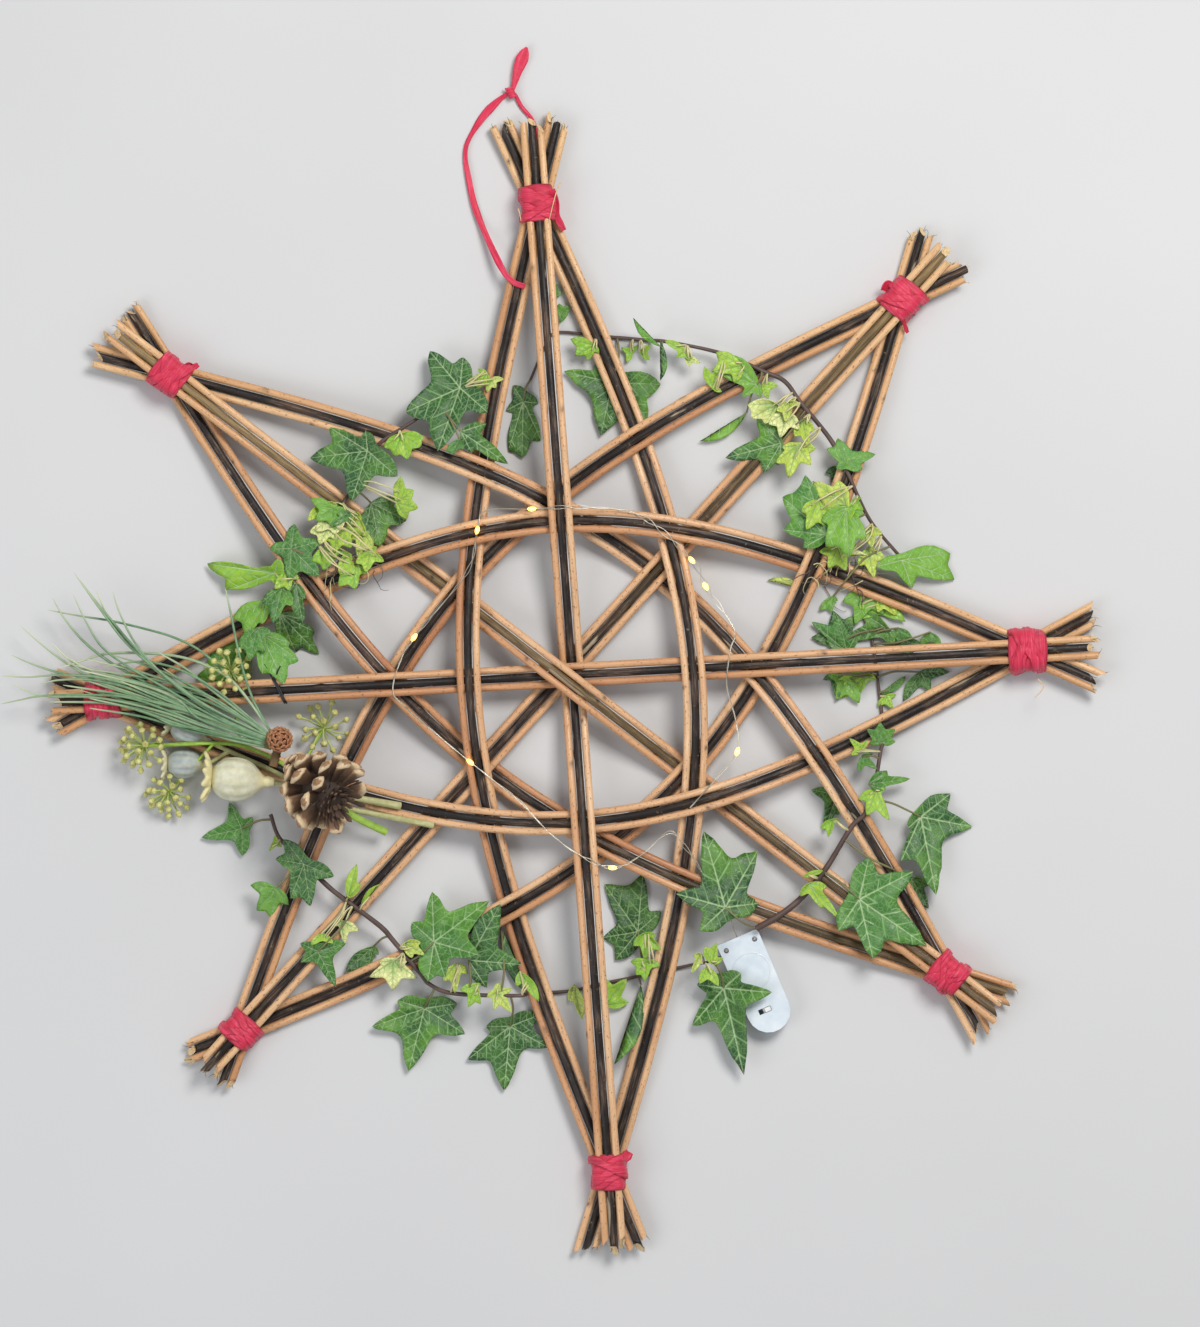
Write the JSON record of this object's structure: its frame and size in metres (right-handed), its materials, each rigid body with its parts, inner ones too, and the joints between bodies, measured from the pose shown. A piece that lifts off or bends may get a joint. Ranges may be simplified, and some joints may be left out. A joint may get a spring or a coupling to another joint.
{
  "type": "woven willow star",
  "caption": "Flat woven willow star wreath with red raffia bindings, ivy, a pine, cone and seed-head posy, a battery light string and a hanging loop",
  "frame": {"origin": "centre of the bounding box of the star without its cords, at the bottom of the bindings that it lies on", "axes": "+Z out of the front face, towards the viewer; +Y towards the top point, where the hanging loop is; +X to the right as seen from the front"},
  "size_m": [0.6292, 0.6864, 0.0754],
  "materials": {
    "willow_buff": "satin",
    "willow_dark": "satin",
    "raffia_red": "matte",
    "ivy_leaf": "satin",
    "case_plastic": "satin",
    "switch_plastic": "matte",
    "cell_steel": "brushed",
    "wire_silver": "satin",
    "pine_needle": "satin",
    "pine_scale": "matte",
    "poppy_cream": "matte",
    "poppy_grey": "matte",
    "flower_green": "matte"
  },
  "bodies": {
    "star": {"case_cover": "case_plastic", "case_tray": "case_plastic", "coin_cell_lower": "cell_steel", "coin_cell_upper": "cell_steel", "hanging_loop": "raffia_red", "ivy_flowers": "flower_green", "ivy_trail_bottom": "ivy_leaf", "ivy_trail_right": "ivy_leaf", "ivy_trail_upper_left": "ivy_leaf", "ivy_trail_upper_right": "ivy_leaf", "light_string": "wire_silver", "pine_cone": "pine_scale", "pine_sprig": "pine_needle", "poppy_large": "poppy_cream", "poppy_pair": "poppy_grey", "raffia_binding_bottom": "raffia_red", "raffia_binding_left": "raffia_red", "raffia_binding_lower_left": "raffia_red", "raffia_binding_lower_right": "raffia_red", "raffia_binding_right": "raffia_red", "raffia_binding_top": "raffia_red", "raffia_binding_upper_left": "raffia_red", "raffia_binding_upper_right": "raffia_red", "rod_falling_lower_a": "willow_buff", "rod_falling_lower_b": "willow_dark", "rod_falling_lower_c": "willow_buff", "rod_falling_straight_a": "willow_buff", "rod_falling_straight_b": "willow_dark", "rod_falling_straight_c": "willow_buff", "rod_falling_upper_a": "willow_buff", "rod_falling_upper_b": "willow_dark", "rod_falling_upper_c": "willow_buff", "rod_level_lower_a": "willow_buff", "rod_level_lower_b": "willow_dark", "rod_level_lower_c": "willow_buff", "rod_level_straight_a": "willow_buff", "rod_level_straight_b": "willow_dark", "rod_level_straight_c": "willow_buff", "rod_level_upper_a": "willow_buff", "rod_level_upper_b": "willow_dark", "rod_level_upper_c": "willow_buff", "rod_rising_lower_a": "willow_buff", "rod_rising_lower_b": "willow_dark", "rod_rising_lower_c": "willow_buff", "rod_rising_straight_a": "willow_buff", "rod_rising_straight_b": "willow_dark", "rod_rising_straight_c": "willow_buff", "rod_rising_upper_a": "willow_buff", "rod_rising_upper_b": "willow_dark", "rod_rising_upper_c": "willow_buff", "rod_upright_left_a": "willow_buff", "rod_upright_left_b": "willow_dark", "rod_upright_left_c": "willow_buff", "rod_upright_right_a": "willow_buff", "rod_upright_right_b": "willow_dark", "rod_upright_right_c": "willow_buff", "rod_upright_straight_a": "willow_buff", "rod_upright_straight_b": "willow_dark", "rod_upright_straight_c": "willow_buff"},
    "switch": {"switch_slider": "switch_plastic"}
  },
  "joints": [
    {"name": "switch_slide", "type": "slide", "parent": "star", "child": "switch", "axis": [-0.9191, -0.394, 0], "range_m": [0, 0.0035]}
  ]
}
